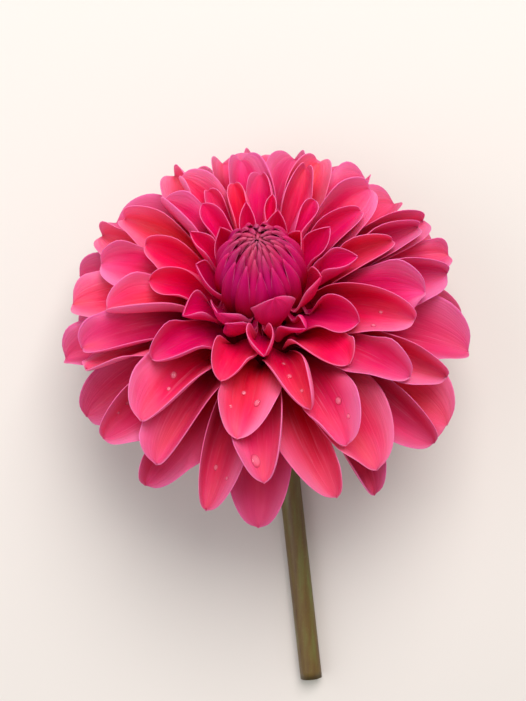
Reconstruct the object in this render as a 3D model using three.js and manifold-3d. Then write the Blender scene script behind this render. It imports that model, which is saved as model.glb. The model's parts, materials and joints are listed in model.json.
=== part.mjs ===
// A dahlia flower head as picked, laid down on its rim petals and its cut stem.
// Millimetres, +Z up. The surface it lies on is z = 0, and the stem points to -Y.

import * as THREE from 'three';
import { mergeVertices } from 'three/addons/utils/BufferGeometryUtils.js';
import Module from 'manifold-3d';

const wasm = await Module();
wasm.setup();

const DEG = Math.PI / 180;
const GAP = 0.3; // clearance between neighbouring pieces
const SLIVER = 0.1; // faces thinner than this are cleaned away where blades cross
const SAME_POINT = 0.001; // corners closer than this are one
const SMALL_STEP = 0.01; // share of a blade's length over which its slope is taken
const CUP_ROUNDNESS = 1.6; // power that a cupped blade's rise follows from its midrib outwards

// How the head lies
const HEAD_AT = [0.2, 24, 31]; // middle of the rim of the head
const HEAD_TILT = 29.5 * DEG; // the head's axis leans this far from upright, towards +Y
const HEAD_ROLL = 5.2 * DEG; // and its lean is turned this far towards -X
const FLOOR_SOFTNESS = 1.2; // how gently a petal bends where it meets the surface
const FLOOR_CLEARANCE = 0.02;
const FAR_UP = 20; // above this many softnesses a petal isn't bent at all

// Open petals (ray florets). Their levels count the turns of petals from the bud outwards, and the
// rows below give a petal's form at each whole level: its midrib runs from its root over a bend to
// its tip, each as [distance from the head's axis, height over its rim]. A petal on the +Y side
// of the head reaches further out by the level's back value. The width is taken straight from edge
// to edge over the fold, and the cup is how far the edges rise, as a share of half that width.
const RINGS = [
  { count: 8, turn: 0.3, stride: 3 }, // petals, start in petal spacings, steps between neighbours
  { count: 13, turn: 0, stride: 8 },
  { count: 13, turn: 0.37, stride: 8 },
  { count: 13, turn: 0.62, stride: 8 },
  { count: 13, turn: 0.9, stride: 8 },
  { count: 13, turn: 1.43, stride: 8 },
  { count: 13, turn: 1.87, stride: 8 },
];
const LEVELS = [
  { root: [9, 19], bend: [14.2, 30], tip: [12, 41], back: 0, width: 10.5, cup: 0.5, facing: 0 },
  { root: [6.5, 17], bend: [17, 24.5], tip: [18, 34], back: 3, width: 8, cup: 1.1, facing: 1 },
  { root: [6.5, 14.5], bend: [20, 26], tip: [30, 25], back: 3.5, width: 10.5, cup: 0.9, facing: 0.9 },
  { root: [6.5, 12], bend: [24, 26], tip: [41.5, 18.8], back: 3, width: 12.5, cup: 0.6, facing: 0.3 },
  { root: [6.5, 10], bend: [28.5, 21.5], tip: [49, 12], back: 2.5, width: 14.8, cup: 0.48, facing: 0.3 },
  { root: [6.5, 8], bend: [31, 16], tip: [53.3, 5], back: 2.5, width: 16, cup: 0.42, facing: 0.3 },
  { root: [6, 6], bend: [31.5, 10], tip: [54.6, -3.5], back: 2.5, width: 16.5, cup: 0.38, facing: 0.3 },
  { root: [6, 4.5], bend: [30, 4.5], tip: [52.5, -11], back: 2.5, width: 15.5, cup: 0.35, facing: 0.3 },
];
const FIRST_PETAL = 268.3 * DEG; // azimuth of the first petal where a ring's turn is 0
const FRONT_SPREAD = 0.27; // petals stand wider apart on the -Y side by this share
const FRONT_CURL = 0.3; // and curl up more there by this share, where their level has facing 1
const FRONT_TWIST = 18 * DEG; // petals at the sides twist this far to face -Y
const FULL_TWIST_LEVEL = 2; // inside this level they twist less
const AZIMUTH_JITTER = 3 * DEG;
const TIP_JITTER = 0.8;
const WIDTH_JITTER = 0.06;
const TWIST_JITTER = 9 * DEG;
const PETAL_THICKNESS = 0.7;
const PETAL_ALONG = [0, 0.3, 0.6, 0.85, 1]; // stations from root to tip
const PETAL_ACROSS = [-1, 0, 1]; // stations from edge to edge, with the fold in the middle
const CLAW = 0.3; // width of a petal's root, as a share of its greatest width
const BELLY = [1.15, 0.66]; // how fast its width grows from the root and shrinks to the tip

// Core that the petals grow from, as [radius, height]
const CORE_PROFILE = [[0, 3], [8, 3], [19, 4], [23, 8], [21, 15], [14, 21], [9, 19.2], [0, 19.2]];
const CORE_SIDES = 20;

// Closed bud: a dome of folded florets that lean together at its apex, as [radius, height]
const BUD_FOOT = 19.5;
const BUD_PROFILE = [[8.8, BUD_FOOT], [10.4, 23], [11.6, 28], [11.8, 33], [10.9, 38], [8.6, 42.5],
  [5, 45.8], [0, 47]];
const BUD_MIDDLE = 31; // height that the florets' inner sides draw in towards
const BUD_SIDES = 18;
const BUD_STEPS = 8;
const BUD_CORE_SHARE = 0.88; // dome under the florets, as a share of the bud
const BUD_EXTRA_GAP = 0.12; // for the florets' keels, which lie a little proud of the dome's sides
const BUD_RINGS = [
  { count: 13, turn: 0, from: 0.03, to: 0.62, width: 6.2 },
  { count: 13, turn: 0.5, from: 0.22, to: 0.8, width: 5.4 },
  { count: 9, turn: 0.2, from: 0.5, to: 0.95, width: 4.6 },
];
const FLORET_ALONG = [0, 0.45, 1];
const FLORET_EDGE_SHARE = 0.92; // a floret's edges lie this far out, as a share of its keel
const FLORET_ROOT_SHARE = 0.75; // and its inner side this far
const FLORET_TAPER = 0.98; // 1 would bring its edges together at its tip

// Calyx: the swollen end of the stem with its bracts
const CALYX_PROFILE = [[0, -7], [3.7, -7], [4.6, -4], [7.6, -0.5], [8.4, 1.6], [5.6, 2.7], [0, 2.7]];
const CALYX_SIDES = 18;
const BRACT_THICKNESS = 0.8;
const BRACT_RINGS = [
  { count: 8, turn: 0.2, root: [4, 0.4], bend: [12, 1.2], tip: [19, -4], width: 8, cup: 0.12 },
  { count: 5, turn: 0.3, root: [3, -2], bend: [12, -2.5], tip: [14.5, -11], width: 5.6, cup: 0.25 },
];
const BRACT_ALONG = [0, 0.35, 0.7, 1];
const BRACT_ACROSS = [-1, 0, 1];

// Stem: it leaves the calyx along the head's axis, bends down to the surface and lies there
const STEM_RADIUS = 3.2;
const STEM_SIDES = 12;
const STEM_LANDING = [7.1, -17];
const STEM_END = [13.56, -75.35];
const NECK_HANDLE = 15; // length of the curve's handles at both ends of the bent neck
const STEM_STEPS = 16;

const head = new THREE.Group();
head.position.set(...HEAD_AT);
head.rotation.set(-HEAD_TILT, 0, HEAD_ROLL, 'ZYX');
head.updateMatrixWorld(true);

// A repeatable draw between -1 and 1 for petal n; each use has its own salt.
function draw(n, salt) {
  const x = Math.sin(n * 12.9898 + salt * 78.233) * 43758.5453;
  return 2 * (x - Math.floor(x)) - 1;
}

// Point at share t of a quadratic curve from a over b to c, in (distance, height).
function along(a, b, c, t) {
  const u = 1 - t;
  return [0, 1].map((i) => u * u * a[i] + 2 * u * t * b[i] + t * t * c[i]);
}

// Half width of a petal at share t of its length: narrow at the root, widest past the middle,
// with a bluntly pointed tip.
function halfWidth(width, t) {
  const [grow, shrink] = BELLY;
  const widest = grow / (grow + shrink);
  const belly = (t / widest) ** grow * ((1 - t) / (1 - widest)) ** shrink;
  return (width / 2) * (CLAW * (1 - t) ** 2 + belly);
}

// Keeps a head point from reaching under the surface by more than half a blade: what would
// reach lower bends along the surface instead.
function bendAtFloor(point, thickness) {
  const world = head.localToWorld(point);
  const rest = thickness / 2 + FLOOR_CLEARANCE;
  const z = (world.z - rest) / FLOOR_SOFTNESS;
  world.z = rest + FLOOR_SOFTNESS * (z > FAR_UP ? z : Math.log1p(Math.exp(z)));
  return head.worldToLocal(world);
}

// Point of a blade's middle surface: t runs along the midrib and s from edge to edge.
function bladePoint(blade, t, s) {
  const [distance, height] = along(blade.root, blade.bend, blade.tip, t);
  const [d0, h0] = along(blade.root, blade.bend, blade.tip, t - SMALL_STEP);
  const [d1, h1] = along(blade.root, blade.bend, blade.tip, t + SMALL_STEP);
  const slope = Math.atan2(h1 - h0, d1 - d0);
  const half = halfWidth(blade.width, t);
  const across = half * s;
  const rise = blade.cup * half * Math.abs(s) ** CUP_ROUNDNESS;
  const roll = blade.twist * t;
  const side = across * Math.cos(roll) - rise * Math.sin(roll);
  const up = across * Math.sin(roll) + rise * Math.cos(roll);
  const out = distance - up * Math.sin(slope);
  const local = new THREE.Vector3(out, side, height + up * Math.cos(slope));
  local.applyAxisAngle(new THREE.Vector3(0, 0, 1), blade.azimuth);
  return bendAtFloor(local, blade.thickness);
}

// Unit normal of that surface, from its neighbouring points.
function bladeNormal(blade, t, s) {
  const station = THREE.MathUtils.clamp(t, 4 * SMALL_STEP, 1 - 4 * SMALL_STEP);
  const ahead = bladePoint(blade, station + 2 * SMALL_STEP, s);
  const alongIt = ahead.sub(bladePoint(blade, station - 2 * SMALL_STEP, s));
  const beside = bladePoint(blade, station, s + 2 * SMALL_STEP);
  const acrossIt = beside.sub(bladePoint(blade, station, s - 2 * SMALL_STEP));
  return alongIt.cross(acrossIt).normalize();
}

// A closed solid from its corner points and its triangles.
function solidFrom(points, triangles) {
  const vertProperties = new Float32Array(points.flatMap((p) => [p.x, p.y, p.z]));
  const triVerts = new Uint32Array(triangles.flat());
  return new wasm.Manifold(new wasm.Mesh({ numProp: 3, vertProperties, triVerts }));
}

// A closed three.js geometry as a solid: its shared corners are merged, and the triangles that
// shrink to a line at a pole are dropped.
function solidOf(geometry) {
  geometry.deleteAttribute('normal');
  geometry.deleteAttribute('uv');
  const merged = mergeVertices(geometry, SAME_POINT);
  const corners = merged.index.array;
  const kept = [];
  for (let i = 0; i < corners.length; i += 3) {
    const [a, b, c] = corners.slice(i, i + 3);
    if (a !== b && b !== c && c !== a) kept.push(a, b, c);
  }
  const vertProperties = merged.attributes.position.array;
  return new wasm.Manifold(new wasm.Mesh({ numProp: 3, vertProperties, triVerts: new Uint32Array(kept) }));
}

// A curved blade with a face on each side of its middle surface, closed along its edges, at its
// root and at its tip. Both faces are split into triangles alike.
function bladeSolid(blade, stations, lanes) {
  const points = [];
  const rows = stations.map((t) => {
    const row = t < 1 ? lanes : [0];
    return row.map((s) => {
      const middle = bladePoint(blade, t, s);
      const thicker = s === 0 ? Math.hypot(1, blade.cup) : 1; // so that both sides keep the thickness
      const offset = bladeNormal(blade, t, s).multiplyScalar((blade.thickness / 2) * thicker);
      points.push(middle.clone().add(offset), middle.clone().sub(offset));
      return points.length - 2;
    });
  });
  const triangles = [];
  const last = lanes.length - 1;
  // A triangle of the upper face, and the same of the lower face turned round.
  const bothFaces = (a, b, c) => {
    triangles.push([a, b, c], [a + 1, c + 1, b + 1]);
  };
  const wall = (a, b) => {
    triangles.push([a, b, b + 1], [a, b + 1, a + 1]);
  };
  rows.slice(1).forEach((next, i) => {
    const row = rows[i];
    for (let j = 0; j < last; j += 1) {
      const tip = next.length === 1;
      bothFaces(row[j], next[tip ? 0 : j], row[j + 1]);
      if (!tip) bothFaces(row[j + 1], next[j], next[j + 1]);
    }
    wall(row[last], next[next.length - 1]);
    wall(next[0], row[0]);
  });
  for (let j = 0; j < last; j += 1) wall(rows[0][j], rows[0][j + 1]);
  return solidFrom(points, triangles);
}

// A value, or a [distance, height] pair, of the LEVELS rows at a level between them.
function atLevel(level, key) {
  const row = Math.min(Math.floor(level), LEVELS.length - 2);
  const [a, b] = [LEVELS[row][key], LEVELS[row + 1][key]];
  const mix = (x, y) => THREE.MathUtils.lerp(x, y, level - row);
  return Array.isArray(a) ? a.map((x, i) => mix(x, b[i])) : mix(a, b);
}

// The petals stand in rings, and within a ring the levels step on so that next neighbours lie
// one over the other, as in a spiral. Petals are numbered through, from the inmost ring outwards.
function petalBlade(ring, k) {
  const { count, turn, stride } = RINGS[ring];
  const n = k + RINGS.slice(0, ring).reduce((sum, inner) => sum + inner.count, 0);
  const even = FIRST_PETAL + ((k + turn) / count) * 2 * Math.PI;
  const azimuth = even + FRONT_SPREAD * Math.cos(even) + AZIMUTH_JITTER * draw(n, 1);
  const step = (stride * (k + 1) + ring + count - 1) % count;
  const level = ring + step / count;
  const tip = atLevel(level, 'tip');
  const reach = atLevel(level, 'back') * Math.sin(azimuth);
  const curled = FRONT_CURL * atLevel(level, 'facing') * -Math.sin(azimuth);
  const facing = FRONT_TWIST * Math.cos(azimuth) * Math.min(level / FULL_TWIST_LEVEL, 1);
  return {
    azimuth,
    root: atLevel(level, 'root'),
    bend: atLevel(level, 'bend'),
    tip: [tip[0] + reach + TIP_JITTER * draw(n, 2), tip[1] + TIP_JITTER * draw(n, 3)],
    width: atLevel(level, 'width') * (1 - curled) * (1 + WIDTH_JITTER * draw(n, 4)),
    cup: atLevel(level, 'cup') * (1 + curled),
    twist: facing + TWIST_JITTER * draw(n, 5),
    thickness: PETAL_THICKNESS,
  };
}

// The lathe's profile runs upwards in (radius, height).
function turned(profile, sides) {
  const outline = profile.map(([r, h]) => new THREE.Vector2(r, h));
  return solidOf(new THREE.LatheGeometry(outline, sides).rotateX(Math.PI / 2));
}

const budCurve = new THREE.SplineCurve(BUD_PROFILE.map(([r, h]) => new THREE.Vector2(r, h)));

// Outline of the bud, drawn in by a share or grown by a distance.
function budOutline(share, growth) {
  const outline = Array.from({ length: BUD_STEPS }, (_, i) => {
    const p = budCurve.getPointAt(i / BUD_STEPS);
    const reach = Math.hypot(p.x, p.y - BUD_MIDDLE);
    const scale = share + growth / reach;
    return [p.x * scale, BUD_MIDDLE + (p.y - BUD_MIDDLE) * scale];
  });
  const top = BUD_MIDDLE + (BUD_PROFILE.at(-1)[1] - BUD_MIDDLE) * share + growth;
  return [[0, outline[0][1]], ...outline, [0, top]];
}

// A folded floret on the bud: a keel along the bud's outline with an edge on each side of it and
// an inner side sunk in the dome.
function floretSolid(ring, k) {
  const azimuth = ((k + ring.turn) / ring.count) * 2 * Math.PI;
  const points = [];
  const rows = FLORET_ALONG.map((t) => {
    const keel = budCurve.getPointAt(ring.from + (ring.to - ring.from) * t);
    const half = (ring.width / 2) * Math.sqrt(1 - t * t * FLORET_TAPER);
    const corners = [[1, 0], [FLORET_EDGE_SHARE, 1], [FLORET_ROOT_SHARE, 0], [FLORET_EDGE_SHARE, -1]];
    corners.forEach(([share, side]) => {
      const out = keel.x * share;
      const height = BUD_MIDDLE + (keel.y - BUD_MIDDLE) * share;
      const point = new THREE.Vector3(out, side * half, height);
      points.push(point.applyAxisAngle(new THREE.Vector3(0, 0, 1), azimuth));
    });
    return points.length - 4;
  });
  const triangles = [];
  rows.slice(1).forEach((next, i) => {
    const row = rows[i];
    for (let j = 0; j < 4; j += 1) {
      const m = (j + 1) % 4;
      triangles.push([row + j, row + m, next + m], [row + j, next + m, next + j]);
    }
  });
  const first = rows[0];
  const end = rows.at(-1);
  triangles.push([first, first + 2, first + 1], [first, first + 3, first + 2]);
  triangles.push([end, end + 1, end + 2], [end, end + 2, end + 3]);
  return solidFrom(points, triangles);
}

// One body out of many.
function joined(solids) {
  return solids.reduce((sum, solid) => sum.add(solid));
}

// Slivers are cleaned away, and only the outer skin of the largest piece is kept, so a pocket
// that the join sealed is filled.
function tidied(solid) {
  const pieces = solid.simplify(SLIVER).decompose();
  return pieces.sort((a, b) => b.volume() - a.volume())[0];
}

function meshOf(name, solid, look) {
  const { numProp, vertProperties, triVerts } = solid.getMesh();
  const geometry = new THREE.BufferGeometry();
  geometry.setAttribute('position', new THREE.BufferAttribute(vertProperties.slice(), numProp));
  geometry.setIndex(Array.from(triVerts));
  geometry.computeVertexNormals();
  const mesh = new THREE.Mesh(geometry, new THREE.MeshStandardMaterial(look));
  mesh.name = name;
  return mesh;
}

function makePetals() {
  const blades = RINGS.flatMap(({ count }, ring) =>
    Array.from({ length: count }, (_, k) => bladeSolid(petalBlade(ring, k), PETAL_ALONG, PETAL_ACROSS)));
  // Clear room round the bud: its flat sides lie nearer to the axis than its corners.
  const growth = (GAP + BUD_EXTRA_GAP) / Math.cos(Math.PI / BUD_SIDES);
  const budRoom = turned(budOutline(1, growth), BUD_SIDES);
  const body = joined([turned(CORE_PROFILE, CORE_SIDES), ...blades]).subtract(budRoom);
  return meshOf('petals', tidied(body), { color: '#e23a62', roughness: 0.5, metalness: 0 });
}

function makeBud() {
  const florets = BUD_RINGS.flatMap((ring) =>
    Array.from({ length: ring.count }, (_, k) => floretSolid(ring, k)));
  const dome = turned(budOutline(BUD_CORE_SHARE, 0), BUD_SIDES);
  const body = tidied(joined([dome, ...florets]));
  return meshOf('bud', body, { color: '#b52a63', roughness: 0.55, metalness: 0 });
}

function makeCalyx() {
  const bracts = BRACT_RINGS.flatMap((ring) =>
    Array.from({ length: ring.count }, (_, k) => {
      const azimuth = ((k + ring.turn) / ring.count) * 2 * Math.PI;
      const blade = { ...ring, azimuth, twist: 0, thickness: BRACT_THICKNESS };
      return bladeSolid(blade, BRACT_ALONG, BRACT_ACROSS);
    }));
  const body = tidied(joined([turned(CALYX_PROFILE, CALYX_SIDES), ...bracts]));
  return meshOf('calyx', body, { color: '#6f8f3a', roughness: 0.6, metalness: 0 });
}

function makeStem() {
  const foot = CALYX_PROFILE[0][1] - GAP;
  const start = head.localToWorld(new THREE.Vector3(0, 0, foot));
  const leave = head.localToWorld(new THREE.Vector3(0, 0, foot - NECK_HANDLE));
  const landing = new THREE.Vector3(...STEM_LANDING, STEM_RADIUS);
  const end = new THREE.Vector3(...STEM_END, STEM_RADIUS);
  const arrive = landing.clone().add(landing.clone().sub(end).setLength(NECK_HANDLE));
  const path = new THREE.CurvePath();
  path.add(new THREE.CubicBezierCurve3(start, leave, arrive, landing));
  path.add(new THREE.LineCurve3(landing, end));
  const section = new THREE.Shape(
    Array.from({ length: STEM_SIDES }, (_, k) => {
      const angle = ((k + 0.5) / STEM_SIDES) * 2 * Math.PI;
      return new THREE.Vector2(STEM_RADIUS * Math.cos(angle), STEM_RADIUS * Math.sin(angle));
    }),
  );
  const tube = new THREE.ExtrudeGeometry(section, { steps: STEM_STEPS, extrudePath: path });
  return meshOf('stem', solidOf(tube), { color: '#6d5226', roughness: 0.55, metalness: 0 });
}

head.add(makePetals(), makeBud(), makeCalyx());
const dahlia = new THREE.Group();
dahlia.add(head, makeStem());

export default dahlia;
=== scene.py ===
"""Dresses the dahlia: fine petals, the folded bud, calyx, stem, dew and a plain stage.

Laid out as a Blender add-on and run as a script. Sizes are in millimetres until a mesh is made.
"""
import json

import bpy
import numpy as np
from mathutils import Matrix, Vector

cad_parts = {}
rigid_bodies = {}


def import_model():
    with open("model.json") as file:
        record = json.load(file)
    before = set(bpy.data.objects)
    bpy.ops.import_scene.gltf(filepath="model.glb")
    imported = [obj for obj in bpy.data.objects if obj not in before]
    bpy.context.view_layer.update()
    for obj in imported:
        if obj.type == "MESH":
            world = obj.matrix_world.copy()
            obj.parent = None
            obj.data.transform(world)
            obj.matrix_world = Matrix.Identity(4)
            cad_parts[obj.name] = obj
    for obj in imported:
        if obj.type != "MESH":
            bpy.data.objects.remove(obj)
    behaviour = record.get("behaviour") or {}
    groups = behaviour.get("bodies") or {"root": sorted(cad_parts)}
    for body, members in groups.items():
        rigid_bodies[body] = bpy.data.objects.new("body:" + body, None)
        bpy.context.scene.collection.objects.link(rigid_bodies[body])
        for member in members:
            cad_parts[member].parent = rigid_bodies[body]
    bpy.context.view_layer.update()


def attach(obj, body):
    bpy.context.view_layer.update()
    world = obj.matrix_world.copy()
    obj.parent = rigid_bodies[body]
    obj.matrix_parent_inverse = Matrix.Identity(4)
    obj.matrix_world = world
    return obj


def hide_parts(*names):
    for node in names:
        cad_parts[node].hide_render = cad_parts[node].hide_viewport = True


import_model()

bl_info = {
    "name": "Dahlia flower",
    "version": (1, 0, 0),
    "blender": (4, 5, 0),
    "location": "View3D > Sidebar > Dahlia",
    "description": "Builds a picked dahlia flower around its packed frame",
    "category": "Add Mesh",
}

MM = 0.001
TURN = 2 * np.pi

# How the head lies, and how softly it is eased on the surface, as in the solids
HEAD_AT = np.array([0.2, 24.0, 31.0])
HEAD_TILT = np.radians(29.5)
HEAD_ROLL = np.radians(5.2)
FLOOR_SOFTNESS = 1.2

# Open petals, placed by the rule of the solids: a row for each whole level from the bud outwards,
# with the midrib's root, bend and tip as (distance from the axis, height over the rim), the extra
# reach at the back, the width, and the angle that the cross-section curls through, in degrees. The
# tips, widths and curls are finer here than in the solids.
RING_COUNTS = (8, 13, 13, 13, 13, 13, 13)
RING_TURNS = (0.3, 0, 0.37, 0.62, 0.9, 1.43, 1.87)
LEVEL_STRIDES = (3, 8, 8, 8, 8, 8, 8)
FIRST_PETAL = np.radians(268.3)
FRONT_SPREAD = 0.27
AZIMUTH_JITTER = np.radians(3)
TIP_JITTER = 0.8
WIDTH_JITTER = 0.06
TWIST_JITTER = np.radians(9)
ROOTS = np.array([(9, 19), (6.5, 17), (6.5, 14.5), (6.5, 12), (6.5, 10), (6.5, 8), (6, 6), (6, 4.5)])
BENDS = np.array([(14.2, 30), (17, 24.5), (20, 26), (24, 26), (28.5, 21.5), (31, 16), (31.5, 10),
                  (30, 4.5)])
TIPS = np.array([(12, 41), (19, 33.5), (30.5, 24.5), (41.5, 18.8), (49, 12), (53.3, 5), (54.6, -3.5),
                 (52.5, -11)])
BACKS = np.array([0, 3, 3.5, 3, 2.5, 2.5, 2.5, 2.5])
WIDTHS = np.array([12, 19.5, 23, 23, 25, 26, 26, 24])
CURLS = np.array([50, 175, 115, 70, 54, 46, 40, 36])
CURL_JITTER = 0.2

# How petals differ round the head: at the front they curl more, on the sides they twist and their
# far half folds up, and behind the bud they are narrower, sharper in the crease and more pointed.
FRONT_CURL = 0.3
FRONT_LEAST = -0.35
SIDE_TWIST = np.radians(18)
FULL_TWIST_LEVEL = 2
FAR_FOLD = 0.65
FOLD_LEAST = 0.1
FOLD_MORE = 0.75
CREASE = 0.45
CREASE_JITTER = 0.14
LIFT_JITTER = 0.5
BEHIND_AT_SIDES = 0.3
BEHIND_NARROWER = 0.22
BEHIND_CREASE = 0.3
BEHIND_POINT = 0.2

# How blades change from the bud outwards, as levels and the values there: how strongly the above
# works, and then the change of curl towards the tip, the tip's lift in millimetres and the power
# that makes its point.
FRONT_LEVELS = ((0.5, 1, 1.8, 3), (0, 1, 1, 0.3))
BEHIND_LEVELS = ((1.2, 4.5), (1, 0))
FOLD_LEVELS = ((1.4, 2.4), (0.35, 1))
CREASE_LEVELS = ((0.3, 1.3), (0.33, 1))
HOOD_LEVELS = ((1.7, 2.4), (-0.6, 0.2))
LIFT_LEVELS = ((1.2, 2), (-0.1, 0.9))
POINT_LEVELS = ((1.5, 3.5), (0.73, 0.64))

# What else differs from blade to blade: the middle value, the spread and the draw's own number
PETAL_DRAWS = {
    "fold_at": (0.16, 0.12, 15),
    "rib": (0.15, 0, 0),
    "wave": (0.35, 0.2, 8),
    "waves": (1.3, 0.4, 9),
    "phase": (0, 1, 10),
    "sweep": (0, np.radians(3), 12),
    "tone": (0, 1, 13),
}
BRACT_DRAWS = {
    "hood": (0.2, 0, 0),
    "point": (0.7, 0, 0),
    "twist": (0, 0.12, 5),
    "crease": (0.1, 0, 0),
    "fold_left": (0, 0, 0),
    "fold_right": (0, 0, 0),
    "fold_at": (0.5, 0, 0),
    "rib": (0.1, 0, 0),
    "wave": (0.4, 0.2, 8),
    "waves": (1.5, 0.4, 9),
    "phase": (0, 1, 10),
    "lift": (-0.4, 0.4, 11),
    "sweep": (0, 0.1, 12),
    "tone": (0, 1, 13),
}

# A blade's form. Reaches and starts are shares of its length or of its half width, and the last
# five say how it thins and how its rows and lanes crowd towards the tip and the edges.
CLAW_WIDTH = 0.3
BELLY_RISE = 1.15
TIP_SHARE = 0.015
HOOD_FROM = 0.5
ROOT_CURL = 0.5
ROOT_REACH = 0.35
CREASE_REACH = 0.06
FOLD_REACH = 0.12
RIB_COUNT = 5
RIB_FADE_MM = 3
WAVE_REACH = 0.4
WAVE_SHIFT = 0.25
LIFT_FROM = 0.72
EDGE_THINNER = 0.55
TIP_THINNER = 0.2
ROW_CROWDING = 1.2
LAST_ROW = 0.999
LANE_CROWDING = 1.25

# Steps of a smooth outline between two of its points, and the least length that a surface's normal
# is taken to have before it is scaled to 1
CURVE_STEPS = 40
SMALLEST_NORMAL = 1e-12

# How petals settle under the ones above: the map's bins round the axis, its cells outwards and their
# size, the steps put between a petal's points, the gap and the deepest dent, how often it is dented
# and softened, and the distance from the axis that dents start at and the stretch they grow over
MAP_BINS = 720
MAP_CELLS = 140
MAP_CELL = 0.5
MAP_STEPS = 4
SETTLE_GAP = 1.2
SETTLE_MOST = 9
SETTLE_PASSES = 3
SETTLE_FROM = 9
SETTLE_OVER = 5
SOFTENINGS = 3

# Bud outline (radius, height) and its rings of folded florets: how many, their turn, the shares
# of the outline that they run from and to, their width, and how far they sink under the last. The
# dark core is the outline drawn in towards a middle height, and no floret ends past the top share.
BUD_OUTLINE = np.array([(8.8, 19.5), (10.4, 23), (11.6, 28), (11.8, 33), (10.9, 38), (8.6, 42.5),
                        (5, 45.8), (0, 47)])
BUD_MIDDLE = 31
BUD_CORE_SHARE = 0.88
BUD_TOP_SHARE = 0.992
BUD_RINGS = (
    (13, 0.0, 0.02, 0.78, 6.6, 0.0),
    (13, 0.5, 0.2, 0.87, 6.4, 0.065),
    (13, 0.1, 0.42, 0.93, 5.6, 0.08),
    (11, 0.4, 0.6, 0.965, 4.8, 0.09),
    (8, 0.2, 0.72, 0.985, 4.0, 0.095),
    (5, 0.6, 0.8, 0.998, 3.0, 0.1),
)
BUD_CORE_ROWS = 18
BUD_CORE_SIDES = 36

# One folded floret: its mesh, its draws, its taper as two powers, its folded section (the drop of
# its sides, less what the edges spare, over the given millimetres), how far it lies sunk, and how
# its end lifts off the bud. Sinking and lifting are shares of the distance from the bud's middle.
FLORET_ROWS = 16
FLORET_LANES = 9
FLORET_ROW_CROWDING = 0.9
FLORET_LAST_ROW = 0.997
FLORET_LANE_CROWDING = 1.3
FLORET_FIRST_DRAW = 100
FLORET_TURN_JITTER = 0.05
FLORET_END_JITTER = 0.025
FLORET_FOOT_WIDTH = 0.8
FLORET_FOOT_REACH = 0.3
FLORET_TAPER = (2.4, 0.85)
FLORET_FOLD = (1.35, 0.7)
FLORET_FOLD_MM = 12
FLORET_FOLD_LEAST = 0.4
FLORET_FOLD_HALF = 2
FLORET_SUNK = 0.022
FLORET_BARE_FROM = 0.66
FLORET_LIFT = 0.012
FLORET_LIFT_FROM = 0.8
FLORET_BEND_RADIUS = 2.2
FLORET_THICKNESS = 0.45
FLORET_EDGE_THINNER = 0.25

# Core that the petals grow from, and the calyx with its two rings of bracts, as outlines of
# (radius, height) and as blades
CORE_OUTLINE = np.array([(0, 3), (8, 3), (14, 4.5), (16.5, 9), (15, 14), (11.5, 18.5), (9, 19.2),
                         (0, 19.2)])
CORE_ROWS = 40
CALYX_OUTLINE = np.array([(0, -7), (3.7, -7), (4.6, -4), (7.6, -0.5), (8.4, 1.6), (5.6, 2.7), (0, 2.7)])
CALYX_ROWS = 48
TURNED_SIDES = 48
BRACT_RINGS = (
    {"count": 8, "turn": 0.2, "root": (4, 0.4), "bend": (12, 1.2), "tip": (19, -4), "width": 8.4,
     "curl": 34},
    {"count": 5, "turn": 0.3, "root": (3, -2), "bend": (12, -2.5), "tip": (14.5, -11), "width": 6,
     "curl": 62},
)
BRACT_THICKNESS = 0.5
BRACT_ROWS = 20
BRACT_LANES = 13
BRACT_FIRST_DRAW = 200
BRACT_TURN_JITTER = 0.08
BRACT_TIP_JITTER = (0.8, 0.6)
DRAWS_A_RING = 20

# Stem: a bent neck that starts a gap below the calyx, and a straight stretch on the surface. Its
# section has shallow ridges, as a share of its radius.
GAP = 0.3
NECK_HANDLE = 15
STEM_RADIUS = 3.2
STEM_LANDING = np.array([7.1, -17, 3.2])
STEM_END = np.array([13.56, -75.35, 3.2])
STEM_RIDGES = 7
STEM_RIDGE = 0.015
STEM_STEPS = 28
STEM_SIDES = 42
# Face of a cut, from a fine groove inside its rim to a slightly raised pith: how far ahead of the
# end, the share of the radius, and how deep in the cut, from 0 at the skin to 1 at the pith
CUT_FACE = ((-0.08, 0.985, 0.0), (-0.02, 0.95, 0.02), (-0.04, 0.86, 0.3), (0.0, 0.7, 0.6), (0.02, 0.4, 1.0))

# Dew drops: where each lies in the photograph, in pixels, and its width in millimetres. A drop sits
# on the highest petal point within the search, in pixels, that lies within the given share of lanes
# from the midrib and faces up. Its outline (radius, height) is in half widths, and draws turn and
# stretch it.
DEW = (
    (260, 461, 3.4), (176, 370, 1.8), (170, 384, 1.2), (188, 391, 1.4), (240, 390, 1.4), (252, 402, 2.1),
    (236, 405, 1.1), (287, 362, 1.1), (292, 373, 1.5), (301, 385, 1.2), (334, 404, 2.1), (344, 413, 1.2),
    (128, 408, 1.5), (120, 418, 1.2), (378, 310, 1.2), (374, 322, 1.4), (216, 462, 1.4), (222, 476, 1.2),
)
DEW_SEARCH = 6
DEW_LANES = 0.32
DEW_LEAST_UP = 0.15
DEW_OUTLINE = np.array([(0, -0.12), (0.8, -0.12), (1, 0), (0.78, 0.3), (0.4, 0.46), (0, 0.5)])
DEW_ROWS = 14
DEW_SIDES = 20
DEW_TURN = 0.3
DEW_STRETCH = (1.15, 0.15)

# Veins across a blade: 0.7 to 0.8 mm apart on a petal 23 mm wide, a floret 6.5 mm wide and a bract
# 8.4 mm wide
PETAL_VEINS = 28.0
FLORET_VEINS = 9.0
BRACT_VEINS = 12.0

# Patterns fixed to the object, in features to a metre: patches of 3.8 mm on the calyx, streaks
# 2.4 mm wide and flecks of 0.7 mm on the stem, and patches of 3.3 mm deep between the petals
CALYX_PATCHES = 260
STEM_STREAKS = 420
STEM_FLECKS = 1500
DEEP_PATCHES = 300

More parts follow.
